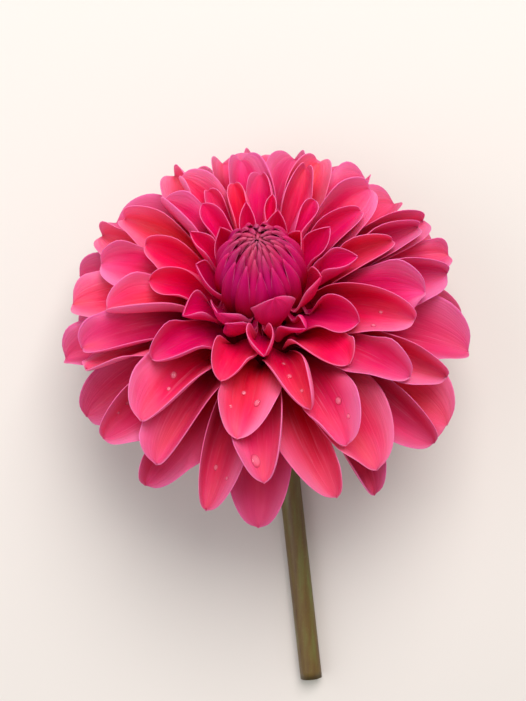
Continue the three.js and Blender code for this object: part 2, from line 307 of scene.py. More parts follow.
# Photograph's frame and the camera's place over it, in pixels and millimetres
FRAME_PIXELS = (526, 701)
HEAD_PIXEL = (266, 337)
PIXELS_PER_MM = 3.68
CAMERA_RISE = 360

# Stage, in metres: the floor's half width, the even light, and each lamp's place, size, power and
# colour
FLOOR_REACH = 6.0
FLOOR_COLOUR = "#d9d7d1"
SKY_COLOUR = "#f6f4f4"
SKY_STRENGTH = 0.47
LAMPS = (
    ("key", (0.1, 0.5, 0.8), 0.6, 9.5, "#fff6f4"),
    ("fill", (-0.6, 0.0, 0.6), 0.7, 1.8, "#fbfaff"),
)


def linear(hex_colour):
    """sRGB hex to linear RGBA: each channel is undone from the display curve."""
    channels = np.array([int(hex_colour[i:i + 2], 16) for i in (1, 3, 5)]) / 255
    low = channels / 12.92
    high = ((channels + 0.055) / 1.055) ** 2.4
    return (*np.where(channels <= 0.04045, low, high), 1.0)


def draw(n, salt):
    """Repeatable draws between -1 and 1 for the numbers n: the fraction left of a large sine."""
    x = np.sin(n * 12.9898 + salt * 78.233) * 43758.5453
    return 2 * (x - np.floor(x)) - 1


def drawn(table, n):
    """Values for the numbers n by a table: the middle value and a draw's share of the spread."""
    return {key: middle + spread * draw(n, salt) for key, (middle, spread, salt) in table.items()}


def smooth(x):
    """Smooth step: 3 x squared less 2 x cubed, with x held between 0 and 1."""
    x = np.clip(x, 0, 1)
    return x * x * (3 - 2 * x)


def to_world(points):
    """Head points in world places: tilted back about X, turned about Z, and moved to the head."""
    ct, st = np.cos(HEAD_TILT), np.sin(HEAD_TILT)
    cr, sr = np.cos(HEAD_ROLL), np.sin(HEAD_ROLL)
    tilt = np.array([[1, 0, 0], [0, ct, st], [0, -st, ct]])
    turn = np.array([[cr, -sr, 0], [sr, cr, 0], [0, 0, 1]])
    return points @ (turn @ tilt).T + HEAD_AT


def bend_at_floor(points, rest):
    """World points whose height is eased so that it never falls under rest: a soft maximum."""
    z = (points[..., 2] - rest) / FLOOR_SOFTNESS
    eased = rest + FLOOR_SOFTNESS * np.logaddexp(0, z)
    return np.concatenate([points[..., :2], eased[..., None]], axis=-1)


def half_width(width, point, t):
    """Half width along a blade: a narrow claw that fades with (1-t) squared, and a belly, t to the
    power of BELLY_RISE times (1-t) to the power of point, scaled to 1 where it is widest. The
    hyperbolic tangent of (1-t)/TIP_SHARE draws it in to a point at the very tip."""
    widest = BELLY_RISE / (BELLY_RISE + point)
    belly = (t / widest) ** BELLY_RISE * ((1 - t) / (1 - widest)) ** point * np.tanh((1 - t) / TIP_SHARE)
    return width / 2 * (CLAW_WIDTH * (1 - t) ** 2 + belly)


def cross_section(get, half, t, s):
    """Cross-sections of blades as (side, rise) from the midrib, for an odd number of lanes.

    The slope grows evenly from edge to edge by the curl, which is stronger at the root and changes
    by the hood towards the tip. It jumps at the crease along the midrib, and steps up where each
    side is folded. The curve is the running sum of the lanes' steps along that slope.
    """
    mid = (s[..., 1:] + s[..., :-1]) / 2
    hooded = get["hood"] * smooth((t - HOOD_FROM) / (1 - HOOD_FROM))
    curl = get["curl"] * (1 + hooded + ROOT_CURL * smooth((ROOT_REACH - t) / ROOT_REACH))
    slope = curl / 2 * mid + get["crease"] * np.tanh(mid / CREASE_REACH)
    slope = slope + get["fold_right"] * smooth((mid - get["fold_at"]) / FOLD_REACH)
    slope = slope - get["fold_left"] * smooth((-mid - get["fold_at"]) / FOLD_REACH)
    step = half * np.diff(s)
    curves = []
    for part in (np.cos(slope), np.sin(slope)):
        run = np.cumsum(step * part, axis=-1)
        run = np.concatenate([0 * run[..., :1], run], axis=-1)
        curves.append(run - run[..., run.shape[-1] // 2][..., None])
    return curves


def blade_middle(blade, t, s):
    """Middle surface of many blades at once, in head millimetres.

    The midrib is a quadratic curve in (distance, height). On it stands the folded cross-section,
    with soft ribs, a cosine over the width, and a sine wave that grows towards the edges; the last
    stretch lifts to a boat-shaped tip. The section then twists about the midrib, stands square to
    its slope and turns to the blade's azimuth, which sweeps a little with the square of t.
    """
    t = t[None, :, None]
    s = s[None, None, :]
    get = {key: np.asarray(value)[:, None, None] for key, value in blade.items() if np.ndim(value) == 1}
    a, b, c = (blade[key][:, None, None, :] for key in ("root", "bend", "tip"))
    u = 1 - t[..., None]
    rib = u * u * a + 2 * u * (1 - u) * b + (1 - u) ** 2 * c
    run = 2 * u * (b - a) + 2 * (1 - u) * (c - b)
    slope = np.arctan2(run[..., 1], run[..., 0])
    half = half_width(get["width"], get["point"], t)
    side, rise = cross_section(get, half, t, s)
    ribs = np.cos(np.pi * RIB_COUNT * s) * (1 - s * s)
    rise = rise + get["rib"] * ribs * smooth(half / RIB_FADE_MM)
    wave = np.sin(TURN * (get["waves"] * t + get["phase"] + WAVE_SHIFT * np.sign(s)))
    rise = rise + get["wave"] * wave * np.abs(s) ** 3 * smooth(t / WAVE_REACH)
    rise = rise + get["lift"] * smooth((t - LIFT_FROM) / (1 - LIFT_FROM)) ** 2
    roll = get["twist"] * t
    across = side * np.cos(roll) - rise * np.sin(roll)
    up = side * np.sin(roll) + rise * np.cos(roll)
    out = rib[..., 0] - up * np.sin(slope)
    height = rib[..., 1] + up * np.cos(slope)
    azimuth = get["azimuth"] + get["sweep"] * t ** 2
    x = out * np.cos(azimuth) - across * np.sin(azimuth)
    y = out * np.sin(azimuth) + across * np.cos(azimuth)
    return np.stack([x, y, height], axis=-1)


def neighbours(grid, axis):
    """The grid's values one step back and one step on along an axis, with its ends repeated."""
    at = np.arange(grid.shape[axis])
    return grid.take(np.maximum(at - 1, 0), axis), grid.take(np.minimum(at + 1, at[-1]), axis)


def spread_out(drop):
    """A grid of drops widened by one step and then softened, never less than it was."""
    wide = drop
    for axis in (0, 1):
        back, on = neighbours(wide, axis)
        wide = np.maximum(np.maximum(back, wide), on)
    for _ in range(SOFTENINGS):
        for axis in (0, 1):
            back, on = neighbours(wide, axis)
            wide = (back + 2 * wide + on) / 4
    return np.maximum(wide, drop)


def refined(grid, times):
    """A grid with straight steps put in between its rows and lanes."""
    for axis in (0, 1):
        size = grid.shape[axis]
        at = np.linspace(0, size - 1, (size - 1) * times + 1)
        low = np.minimum(at.astype(int), size - 2)
        part = (at - low).reshape([-1 if i == axis else 1 for i in range(grid.ndim)])
        grid = grid.take(low, axis) * (1 - part) + grid.take(low + 1, axis) * part
    return grid


def map_cells(points):
    """The cell of the settling map under each point: by azimuth, and by distance from the axis."""
    row = (np.arctan2(points[..., 1], points[..., 0]) / TURN * MAP_BINS).astype(int) % MAP_BINS
    column = (np.hypot(points[..., 0], points[..., 1]) / MAP_CELL).astype(int)
    return row, np.clip(column, 0, MAP_CELLS - 1)


def settle(middles, levels):
    """Lays each petal under the ones above it, from the inmost level outwards.

    A map over azimuth and distance keeps the lowest height taken so far; where a petal would come
    through it, the petal is lowered by a soft dent that is no deeper than SETTLE_MOST.
    """
    lowest = np.full((MAP_BINS, MAP_CELLS), np.inf)
    for i in np.argsort(levels):
        petal = middles[i]
        cells = map_cells(petal)
        free = smooth((np.hypot(petal[..., 0], petal[..., 1]) - SETTLE_FROM) / SETTLE_OVER)
        for _ in range(SETTLE_PASSES):
            over = np.maximum(petal[..., 2] + SETTLE_GAP - lowest[cells], 0)
            petal[..., 2] -= SETTLE_MOST * np.tanh(spread_out(over) / SETTLE_MOST) * free
        fine = refined(petal, MAP_STEPS)
        taken = np.full(lowest.shape, np.inf)
        np.minimum.at(taken, map_cells(fine), fine[..., 2])
        for shift, axis in ((1, 0), (-1, 0), (1, 1), (-1, 1)):
            taken = np.minimum(taken, np.roll(taken, shift, axis))
        lowest = np.minimum(lowest, taken)


def blade_normals(middle):
    """Unit normals of grids of points: the cross product of their two running differences."""
    along = np.gradient(middle, axis=1)
    across = np.gradient(middle, axis=2)
    normal = np.cross(along, across)
    return normal / np.maximum(np.linalg.norm(normal, axis=-1, keepdims=True), SMALLEST_NORMAL)


def closed_blades(middle, thickness):
    """Two faces set off from each middle surface by half the thickness, and the quads that close
    them: upper face, lower face turned round, and a wall along the whole outline."""
    count, rows, lanes = middle.shape[:3]
    offset = blade_normals(middle) * (thickness / 2)[..., None]
    points = np.stack([middle + offset, middle - offset], axis=1).reshape(-1, 3)
    i, j = np.meshgrid(np.arange(rows - 1), np.arange(lanes - 1), indexing="ij")
    corner = (i * lanes + j).ravel()
    upper = np.stack([corner, corner + lanes, corner + lanes + 1, corner + 1], axis=1)
    lower = upper[:, ::-1] + rows * lanes
    outline = np.concatenate([
        np.arange(rows) * lanes,
        (rows - 1) * lanes + np.arange(1, lanes),
        np.arange(rows - 2, -1, -1) * lanes + lanes - 1,
        np.arange(lanes - 2, 0, -1),
    ])
    ahead = np.roll(outline, -1)
    wall = np.stack([ahead, outline, outline + rows * lanes, ahead + rows * lanes], axis=1)
    one = np.concatenate([upper, lower, wall])
    starts = np.arange(count) * 2 * rows * lanes
    quads = (one[None] + starts[:, None, None]).reshape(-1, 4)
    return points, quads


def make_piece(name, points, faces, material, node, uv=None, values=None):
    """A mesh object from world points in millimetres, riding on the root body, with a UV map and
    attributes where they are given."""
    mesh = bpy.data.meshes.new(name)
    mesh.from_pydata((points * MM).tolist(), [], faces)
    mesh.polygons.foreach_set("use_smooth", np.ones(len(mesh.polygons), dtype=bool))
    corners = np.empty(len(mesh.loops), dtype=np.int32)
    mesh.loops.foreach_get("vertex_index", corners)
    if uv is not None:
        mesh.uv_layers.new(name="blade").data.foreach_set("uv", uv[corners].ravel())
    for key, value in (values or {}).items():
        mesh.attributes.new(key, "FLOAT", "POINT").data.foreach_set("value", value.ravel())
    mesh.materials.append(material)
    piece = bpy.data.objects.new(name, mesh)
    bpy.context.collection.objects.link(piece)
    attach(piece, "root")
    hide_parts(node)


def tube_faces(rows, sides):
    """Quads of a tube whose points lie ring after ring, and the triangles that close its two ends
    on two more points. They face outwards where a ring's points run leftwards round the way ahead."""
    k = np.arange(sides)
    ahead = (k + 1) % sides
    starts = np.arange(rows - 1)[:, None] * sides
    quads = np.stack([starts + k, starts + ahead, starts + ahead + sides, starts + k + sides], axis=-1)
    foot = np.stack([ahead, k, np.full(sides, rows * sides)], axis=-1)
    last = (rows - 1) * sides
    crown = np.stack([last + k, last + ahead, np.full(sides, rows * sides + 1)], axis=-1)
    return quads.reshape(-1, 4).tolist() + foot.tolist() + crown.tolist()


def turned_surface(outline, sides):
    """A closed surface of revolution in head places: each (radius, height) row of the outline is
    carried round the axis, and its two ends lie on the axis as poles."""
    rings = outline[1:-1]
    angle = np.arange(sides) / sides * TURN
    round_it = np.stack([np.cos(angle), np.sin(angle)], axis=-1)
    body = np.concatenate([
        rings[:, None, :1] * round_it[None],
        np.broadcast_to(rings[:, None, 1:], (len(rings), sides, 1)),
    ], axis=-1).reshape(-1, 3)
    poles = np.array([[0, 0, outline[0][1]], [0, 0, outline[-1][1]]])
    return np.concatenate([body, poles]), tube_faces(len(rings), sides)


def smooth_outline(outline, share):
    """Points at shares of the length of a smooth curve through an outline's rows: each stretch is a
    cubic whose ends lean along their neighbours (Catmull-Rom)."""
    rows = np.concatenate([2 * outline[:1] - outline[1:2], outline, 2 * outline[-1:] - outline[-2:-1]])
    t = np.linspace(0, 1, CURVE_STEPS, endpoint=False)[:, None]
    a, b, c, d = (rows[i:len(rows) - 3 + i, None, :] for i in range(4))
    curve = b + 0.5 * t * (c - a + t * (2 * a - 5 * b + 4 * c - d + t * (3 * (b - c) + d - a)))
    curve = np.concatenate([curve.reshape(-1, 2), outline[-1:]])
    steps = np.linalg.norm(np.diff(curve, axis=0), axis=1)
    run = np.concatenate([[0], np.cumsum(steps)]) / steps.sum()
    return np.stack([np.interp(share, run, curve[:, i]) for i in range(2)], axis=-1)


def smooth_turned(outline, rows, sides):
    """A closed surface of revolution whose outline is a smooth curve through the given one."""
    return turned_surface(smooth_outline(outline, np.linspace(0, 1, rows)), sides)


def at_level(rows, level):
    """Rows of the level tables at levels between them, by straight interpolation."""
    rows = np.asarray(rows, dtype=float)
    at = np.arange(len(rows))
    if rows.ndim == 1:
        return np.interp(level, at, rows)
    return np.stack([np.interp(level, at, rows[:, i]) for i in range(rows.shape[1])], axis=-1)


def ring_blades(ring, sizes):
    """The petals of one ring, placed by the rule of the solids with the same draws."""
    count = RING_COUNTS[ring]
    k = np.arange(count)
    n = sum(RING_COUNTS[:ring]) + k
    even = FIRST_PETAL + (k + RING_TURNS[ring]) / count * TURN
    azimuth = even + FRONT_SPREAD * np.cos(even) + AZIMUTH_JITTER * draw(n, 1)
    step = (LEVEL_STRIDES[ring] * (k + 1) + ring - 1) % count
    level = ring + step / count
    reach = at_level(BACKS, level) * np.sin(azimuth)
    shift = np.stack([reach + TIP_JITTER * draw(n, 2), TIP_JITTER * draw(n, 3)], axis=-1)
    facing = np.maximum(-np.sin(azimuth), FRONT_LEAST)
    front = 1 + FRONT_CURL * facing * np.interp(level, *FRONT_LEVELS)
    behind = np.clip(BEHIND_AT_SIDES + (1 - BEHIND_AT_SIDES) * np.sin(azimuth), 0, 1)
    behind = behind * np.interp(level, *BEHIND_LEVELS)
    narrowed = at_level(WIDTHS, level) * (1 - BEHIND_NARROWER * behind)
    turned = SIDE_TWIST * np.cos(azimuth) * np.minimum(level / FULL_TWIST_LEVEL, 1)
    creased = (CREASE + CREASE_JITTER * draw(n, 7)) * np.interp(level, *CREASE_LEVELS)
    fold = np.clip(draw(n, 14) - FAR_FOLD * np.cos(azimuth), -1, 1)
    folded = front * np.interp(level, *FOLD_LEVELS)
    return {
        **drawn(PETAL_DRAWS, n),
        "azimuth": azimuth,
        "level": level,
        "root": at_level(ROOTS, level),
        "bend": at_level(BENDS, level),
        "tip": at_level(TIPS, level) + shift,
        "width": narrowed * (1 + WIDTH_JITTER * draw(n, 4)),
        "twist": turned + TWIST_JITTER * draw(n, 5),
        "curl": np.radians(at_level(CURLS, level)) * front * (1 + CURL_JITTER * draw(n, 6)),
        "crease": creased + BEHIND_CREASE * behind,
        "fold_left": folded * (FOLD_LEAST + FOLD_MORE * np.sqrt(np.maximum(fold, 0))),
        "fold_right": folded * (FOLD_LEAST + FOLD_MORE * np.sqrt(np.maximum(-fold, 0))),
        "hood": np.interp(level, *HOOD_LEVELS),
        "lift": np.interp(level, *LIFT_LEVELS) + LIFT_JITTER * draw(n, 11),
        "point": np.interp(level, *POINT_LEVELS) + BEHIND_POINT * behind,
        "thickness": sizes.petal_thickness,
    }


def lane_places(lanes, crowding):
    """Places from edge to edge, closer towards the edges: the sine of even steps, scaled to 1."""
    return np.sin(np.linspace(-1, 1, lanes) * crowding) / np.sin(crowding)


def blade_stations(rows, lanes):
    """Stations from root to tip, closer towards the tip, and from edge to edge."""
    along = np.sin(np.linspace(0, 1, rows) * np.pi / 2) ** ROW_CROWDING * LAST_ROW
    return along, lane_places(lanes, LANE_CROWDING)


def grid_piece(name, middle, thickness, stations, material, node, values):
    """One piece of closed blades. The stations along and across a blade become its UV map, and the
    values, which spread over (blade, face, row, lane), become attributes."""
    t, s = stations
    points, quads = closed_blades(middle, np.broadcast_to(thickness, middle.shape[:3]))
    grid = (len(middle), 2, len(t), len(s))
    places = (s * 0.5 + 0.5, t[:, None])
    uv = np.stack([np.broadcast_to(place, grid) for place in places], axis=-1).reshape(-1, 2)
    spread = {key: np.broadcast_to(value, grid) for key, value in values.items()}
    make_piece(name, points, quads.tolist(), material, node, uv, spread)


def blade_piece(name, blades, middle, stations, material, node):
    """One piece of petals or bracts, which are thinner towards their edges and tips."""
    t, s = stations
    thin = 1 - EDGE_THINNER * np.abs(s) ** 4 - TIP_THINNER * t[:, None]
    values = {key: blades[key][:, None, None, None] for key in ("level", "tone")}
    values["under"] = np.array([0.0, 1.0])[:, None, None]
    grid_piece(name, middle, blades["thickness"] * thin, stations, material, node, values)


# Settings of the nodes that are used most: products and sums, straight lines (a value times a slope,
# plus a start), differences, and mixes of colours. Held ones stay between 0 and 1.
TIMES = {"operation": "MULTIPLY"}
HELD_TIMES = {"operation": "MULTIPLY", "use_clamp": True}
SUM = {"operation": "ADD"}
HELD_SUM = {"operation": "ADD", "use_clamp": True}
LINE = {"operation": "MULTIPLY_ADD"}
HELD_LINE = {"operation": "MULTIPLY_ADD", "use_clamp": True}
LESS = {"operation": "SUBTRACT"}
BLEND = {"data_type": "RGBA"}

# How light spreads inside pink flesh, green leaves and the stem: for red, green and blue, and the
# scale in metres
FLESH = {"Subsurface_Radius": (1.0, 0.12, 0.32), "Subsurface_Scale": 0.003}
LEAF = {"Subsurface_Radius": (0.4, 1.0, 0.2), "Subsurface_Scale": 0.001}
STALK = {"Subsurface_Radius": (0.6, 1.0, 0.3), "Subsurface_Scale": 0.001}


class Recipe:
    """A material in the making: its nodes are added one by one and pass their sockets on."""

    def __init__(self, name):
        self.material = bpy.data.materials.new(name)
        self.material.use_nodes = True
        self.tree = self.material.node_tree
        self.shader = self.tree.nodes["Principled BSDF"]

    def feed(self, node, key, value):
        """Links a socket to a node's input, or sets the input to a number, vector or hex colour."""
        if isinstance(value, bpy.types.NodeSocket):
            self.tree.links.new(value, node.inputs[key])
        else:
            node.inputs[key].default_value = linear(value) if isinstance(value, str) else value

    def add(self, kind, settings, *values, output=None, stops=(), **named):
        """Adds a node and returns its named output, or else the first that is in use. Settings go to
        its properties, and values to its inputs, by order or by name. A colour ramp takes stops, as
        places and hex colours."""
        node = self.tree.nodes.new("ShaderNode" + kind)
        for key, value in settings.items():
            setattr(node, key, value)
        in_use = [i for i, socket in enumerate(node.inputs) if socket.enabled]
        for key, value in [*zip(in_use, values), *named.items()]:
            self.feed(node, key, value)
        if stops:
            ramp = node.color_ramp.elements
            ramp.remove(ramp[1])
            ramp[0].position = stops[0][0]
            ramp[0].color = linear(stops[0][1])
            for place, colour in stops[1:]:
                ramp.new(place).color = linear(colour)
        return node.outputs[output] if output else [out for out in node.outputs if out.enabled][0]

    def blade_places(self):
        """A blade's own places: from edge to edge, from root to tip, and how far from the midrib,
        from 0 to 1 at the edges."""
        place = self.add("UVMap", {"uv_map": "blade"})
        across, along = (self.add("SeparateXYZ", {}, place, output=key) for key in "XY")
        edge = self.add("Math", {"operation": "ABSOLUTE"}, self.add("Math", LINE, across, 2.0, -1.0))
        return across, along, edge

    def pattern(self, spots, features, detail, roughness=0.6):
        """Soft noise over three sockets, with the given features to a whole one of each."""
        scaled = [self.add("Math", TIMES, spot, feature) for spot, feature in zip(spots, features)]
        return self.add("TexNoise", {}, self.add("CombineXYZ", {}, *scaled), 1.0, detail, roughness)

    def grain(self, scale, stretch=(1, 1, 1)):
        """Soft noise fixed to the object, with the given features to a metre."""
        place = self.add("Mapping", {}, self.add("TexCoord", {}, output="Object"), Scale=stretch)
        return self.add("TexNoise", {}, place, scale, 4.0, 0.6)

    def vary(self, colour, tone, hue, value):
        """Shifts a colour's hue and value by a tone between -1 and 1."""
        hue = self.add("Math", LINE, tone, hue, 0.5)
        value = self.add("Math", LINE, tone, value, 1.0)
        return self.add("HueSaturation", {}, Hue=hue, Value=value, Color=colour)

    def finish(self, **inputs):
        """Feeds the shader's inputs, with _ for a space in their names, and returns the material."""
        for key, value in inputs.items():
            self.feed(self.shader, key.replace("_", " "), value)
        return self.material

    def finish_rough(self, colour, height, relief, **inputs):
        """Finishes with a bump of the given depth in metres."""
        bump = self.add("Bump", {}, Strength=0.6, Distance=relief, Height=height)
        return self.finish(Base_Color=colour, Normal=bump, **inputs)


def petal_material(name, colours):
    """Living petal: thin, water-filled cells over a white backing. It gives the eye a soft satin
    skin with fine lengthwise veins, a deep crimson throat that is partly painted shade, a rose-red
    blade with coral patches of painted light shining through, and a paler pink tip, margin and
    underside, the margin partly painted highlight. Painted shade also darkens the fold along the
    midrib and dulls the outer petals."""
    recipe = Recipe(name)
    add = recipe.add
    across, along, edge = recipe.blade_places()
    tone, level, under = (
        add("Attribute", {"attribute_name": key}, output="Fac") for key in ("tone", "level", "under"))
    # Veins are much longer than wide, and clouds are broad. The tone makes each petal's its own.
    veins = recipe.pattern((across, along, tone), (PETAL_VEINS, 2.0, 37.0), 3.0, 0.65)
    cloud = recipe.pattern((across, along, tone), (2.4, 2.0, 91.0), 1.0)

    wander = add("Math", SUM, add("Math", LINE, veins, 0.34, -0.17), add("Math", LINE, cloud, 0.3, -0.15))
    length = add("Math", HELD_SUM, along, wander)
    # Darker towards the root: partly the petal's own deeper crimson and partly painted shade deep in the
    # head.
    face = add("ValToRGB", {}, length, stops=(
        (0.15, colours.throat), (0.5, colours.depth), (0.76, colours.blade), (1.0, colours.tip)))
    # Coral patches along the middle of the blade are painted light shining through the petal.
    glow = add("Math", TIMES, add("Math", LESS, 1.0, edge), add("Math", HELD_LINE, cloud, 3.0, -1.2))
    glow = add("Math", TIMES, glow, add("Math", HELD_LINE, along, 1.2, -0.3))
    face = add("Mix", BLEND, glow, face, colours.glow)
    # The paler margin, partly the petal's own paler pink and partly painted highlight: a wide soft band
    # with a thin bright line at the very edge.
    side = add("Math", SUM, edge, add("Math", LINE, cloud, 0.5, -0.25))
    side = add("MapRange", {"interpolation_type": "SMOOTHSTEP"}, side, 0.25, 0.95)
    pale_margin_and_highlight = add("Math", HELD_TIMES, side, add("Math", LINE, along, 1.5, -0.5))
    pale_margin_and_highlight = add("Math", HELD_TIMES, pale_margin_and_highlight, add("Math", LINE, veins, 0.8, 0.5))
    face = add("Mix", BLEND, pale_margin_and_highlight, face, colours.margin)
    line = add("Math", HELD_TIMES, add("Math", LESS, edge, 0.93), 12.0)
    face = add("Mix", BLEND, add("Math", TIMES, line, 0.25), face, colours.edge)
    # The outer petals are mixed towards a paler, duller rose, more on the outer levels and towards their
    # tips: painted shade with a greyish sky reflection.
    outer = add("Math", HELD_LINE, level, 0.22, -0.5)
    outer = add("Math", TIMES, outer, add("Math", HELD_LINE, along, 0.7, 0.0))
    face = add("Mix", BLEND, outer, face, colours.dull_shade)
    # Painted shade lies as a dark stripe in the fold along the midrib and fades before the tip.
    crease_shade = add("Math", TIMES, add("Math", HELD_LINE, edge, -3.0, 1.0), veins)
    crease_shade = add("Math", HELD_SUM, add("Math", HELD_LINE, edge, -14.0, 1.0), crease_shade)
    crease_shade = add("Math", TIMES, crease_shade, add("Math", HELD_LINE, along, -2.2, 2.1))
    face = add("Mix", BLEND, add("Math", TIMES, crease_shade, 0.8), face, colours.depth)

    back = add("ValToRGB", {}, length, stops=(
        (0.1, colours.throat), (0.45, colours.under), (0.9, colours.under_tip)))
    # The underside takes half of the margin band, so it is partly painted highlight too.
    back = add("Mix", BLEND, add("Math", TIMES, side, 0.5), back, colours.margin)
    # The young petals round the bud are crimson all over, but for their rims.
    young = add("Math", LINE, add("Math", {"operation": "POWER"}, edge, 8.0), -0.6, 0.9)
    young = add("Math", TIMES, add("Math", HELD_LINE, level, -0.6, 1.9), young)
    skin = add("Mix", BLEND, young, add("Mix", BLEND, under, face, back), colours.young)
    # Crimson streaks follow some veins, and pale ones follow others towards the open petals' tips.
    streak = add("Math", HELD_LINE, veins, 4.5, -2.5)
    skin = add("Mix", BLEND, add("Math", TIMES, streak, 0.3), skin, colours.depth)
    streak = add("Math", TIMES, along, add("Math", HELD_LINE, level, 0.3, -0.2))
    streak = add("Math", TIMES, add("Math", HELD_LINE, veins, -5.0, 2.2), streak)
    skin = add("Mix", BLEND, add("Math", TIMES, streak, 0.35), skin, colours.margin)
    skin = recipe.vary(skin, tone, 0.008, 0.08)
    return recipe.finish_rough(skin, veins, 0.0004, Roughness=0.5, IOR=1.42, Subsurface_Weight=0.35,
                               Specular_IOR_Level=0.05, **FLESH)


def floret_material(name):
    """Folded floret of the bud: the back of a young petal, crimson low on the bud and more purple
    above, with pink edges of painted highlight and ends that turn a pale dusty pink, partly painted
    highlight. Painted shadow darkens the lower part of each floret, where the ring outside covers it."""
    recipe = Recipe(name)
    add = recipe.add
    across, along, edge = recipe.blade_places()
    tone, climb = (add("Attribute", {"attribute_name": key}, output="Fac") for key in ("tone", "level"))
    veins = recipe.pattern((across, along, tone), (FLORET_VEINS, 1.2, 37.0), 3.0)
    climb = add("Math", HELD_SUM, climb, add("Math", LINE, veins, 0.16, -0.08))
    body = add("ValToRGB", {}, climb, stops=(
        (0.12, "#70000c"), (0.36, "#a4002c"), (0.7, "#c40066"), (1.0, "#940030")))
    # Painted shadow darkens the lower part of each floret, where the ring outside it covers it.
    body = add("Mix", BLEND, add("Math", HELD_LINE, along, -2.4, 1.1), body, "#500014")
    # Painted highlight lightens each floret's edges, more towards its end.
    edge_highlight = add("Math", TIMES, add("Math", HELD_LINE, edge, 5.0, -4.0), along)
    body = add("Mix", BLEND, add("Math", TIMES, edge_highlight, 0.5), body, "#e878a8")
    # Towards the top of the bud the florets' ends turn a pale dusty pink, in streaks along their veins:
    # partly their own colour and partly painted highlight on their ridges.
    pale_ends = add("Math", HELD_LINE, climb, 2.6, -1.8)
    pale_ends = add("Math", TIMES, pale_ends, add("Math", HELD_LINE, along, 3.0, -1.9))
    pale_ends = add("Math", TIMES, pale_ends, add("Math", HELD_LINE, veins, 1.8, -0.4))
    body = add("Mix", BLEND, pale_ends, body, "#e0789e")
    body = recipe.vary(body, tone, 0.006, 0.12)
    return recipe.finish_rough(body, veins, 0.0003, Roughness=0.5, Subsurface_Weight=0.2,
                               Specular_IOR_Level=0.15, **FLESH)


def bract_material(name):
    """Bract: a small leaf. The outer ones are fleshy and green with a paler midrib; the inner ones
    are papery, yellow-green and flushed with brown towards their thin edges."""
    recipe = Recipe(name)
    add = recipe.add
    across, along, edge = recipe.blade_places()
    tone, outer = (add("Attribute", {"attribute_name": key}, output="Fac") for key in ("tone", "level"))
    veins = recipe.pattern((across, along, tone), (BRACT_VEINS, 1.4, 53.0), 3.0)
    papery = add("Math", HELD_SUM, edge, add("Math", LINE, veins, 0.6, -0.3))
    papery = add("ValToRGB", {}, papery, stops=((0.2, "#9aa35a"), (0.75, "#b0a564"), (1.0, "#a5704e")))
    green = add("Math", HELD_SUM, along, add("Math", LINE, veins, 0.5, -0.25))
    green = add("ValToRGB", {}, green, stops=((0.1, "#7e9a44"), (0.6, "#557a2c"), (1.0, "#6a6a30")))
    rib = add("Math", HELD_LINE, edge, -9.0, 1.0)
    green = add("Mix", BLEND, add("Math", TIMES, rib, 0.5), green, "#a3b76a")
    skin = recipe.vary(add("Mix", BLEND, outer, papery, green), tone, 0.01, 0.08)
    return recipe.finish_rough(skin, veins, 0.0003, Roughness=0.5, Subsurface_Weight=0.2, **LEAF)


def calyx_material(name):
    """Fleshy cup of the calyx: smooth green skin with paler flecks, a little waxy."""
    recipe = Recipe(name)
    grain = recipe.grain(CALYX_PATCHES, (1, 1, 0.5))
    skin = recipe.add("ValToRGB", {}, grain, stops=((0.3, "#4f6f26"), (0.62, "#779340"), (0.8, "#94a85a")))
    return recipe.finish_rough(skin, grain, 0.0002, Roughness=0.45, Subsurface_Weight=0.15, **LEAF)


def stem_material(name):
    """Flower stem: olive green skin flushed brown in long streaks, with fine pale flecks; the cut
    end shows a pale wet pith with a greener ring."""
    recipe = Recipe(name)
    add = recipe.add
    grain = recipe.grain(STEM_STREAKS, (1, 0.12, 1))
    streaks = add("ValToRGB", {}, grain, stops=((0.3, "#66682f"), (0.5, "#64501f"), (0.72, "#4f2f1c")))
    flecks = add("Math", HELD_LINE, recipe.grain(STEM_FLECKS), 4.0, -2.3)
    skin = add("Mix", BLEND, add("Math", TIMES, flecks, 0.35), streaks, "#8b8a55")
    cut = add("Attribute", {"attribute_name": "cut"}, output="Fac")
    pith = add("ValToRGB", {}, cut, stops=(
        (0.0, "#8f9a4f"), (0.35, "#a9b36c"), (0.6, "#d8d9a8"), (1.0, "#c9c795")))
    inside = add("Math", {"operation": "GREATER_THAN"}, cut, 0.01)
    skin = add("Mix", BLEND, inside, skin, pith)
    return recipe.finish_rough(skin, grain, 0.0003, Roughness=0.42, Subsurface_Weight=0.08, **STALK)


def dark_material(name, colour, second):
    """Shaded tissue deep between the petals: two dark crimsons in soft patches."""
    recipe = Recipe(name)
    grain = recipe.grain(DEEP_PATCHES)
    skin = recipe.add("ValToRGB", {}, grain, stops=((0.35, colour), (0.65, second)))
    return recipe.finish_rough(skin, grain, 0.0002, Roughness=0.9, Specular_IOR_Level=0.02)


def water_material(name):
    """Water: a clear bead that lets more than half of the petal show through. Its colour is painted
    light and shade: pale where it would gather light, and dark round its foot. It mirrors the lamps
    as small sharp spots."""
    recipe = Recipe(name)
    foot = recipe.add("Attribute", {"attribute_name": "foot"}, output="Fac")
    # Painted light and shade: pale at the top of the bead, dark round its foot.
    painted_light_and_shade = recipe.add("ValToRGB", {}, foot, stops=(
        (0.0, "#ffa8c4"), (0.5, "#ee6c8e"), (0.8, "#9c1c40"), (1.0, "#7a1030")))
    return recipe.finish(Base_Color=painted_light_and_shade, Alpha=0.4, IOR=1.33, Roughness=0.04, Specular_IOR_Level=1.0)


def card_material(name):
    """Matt card for the floor: pale grey, with soft shadows and no shine."""
    return Recipe(name).finish(Base_Color=FLOOR_COLOUR, Roughness=0.9)


def hex_of(colour):
    """The sRGB hex of a colour property, which Blender's COLOR_GAMMA subtype keeps as displayed."""
    return "#" + "".join(f"{round(channel * 255):02x}" for channel in colour[:3])


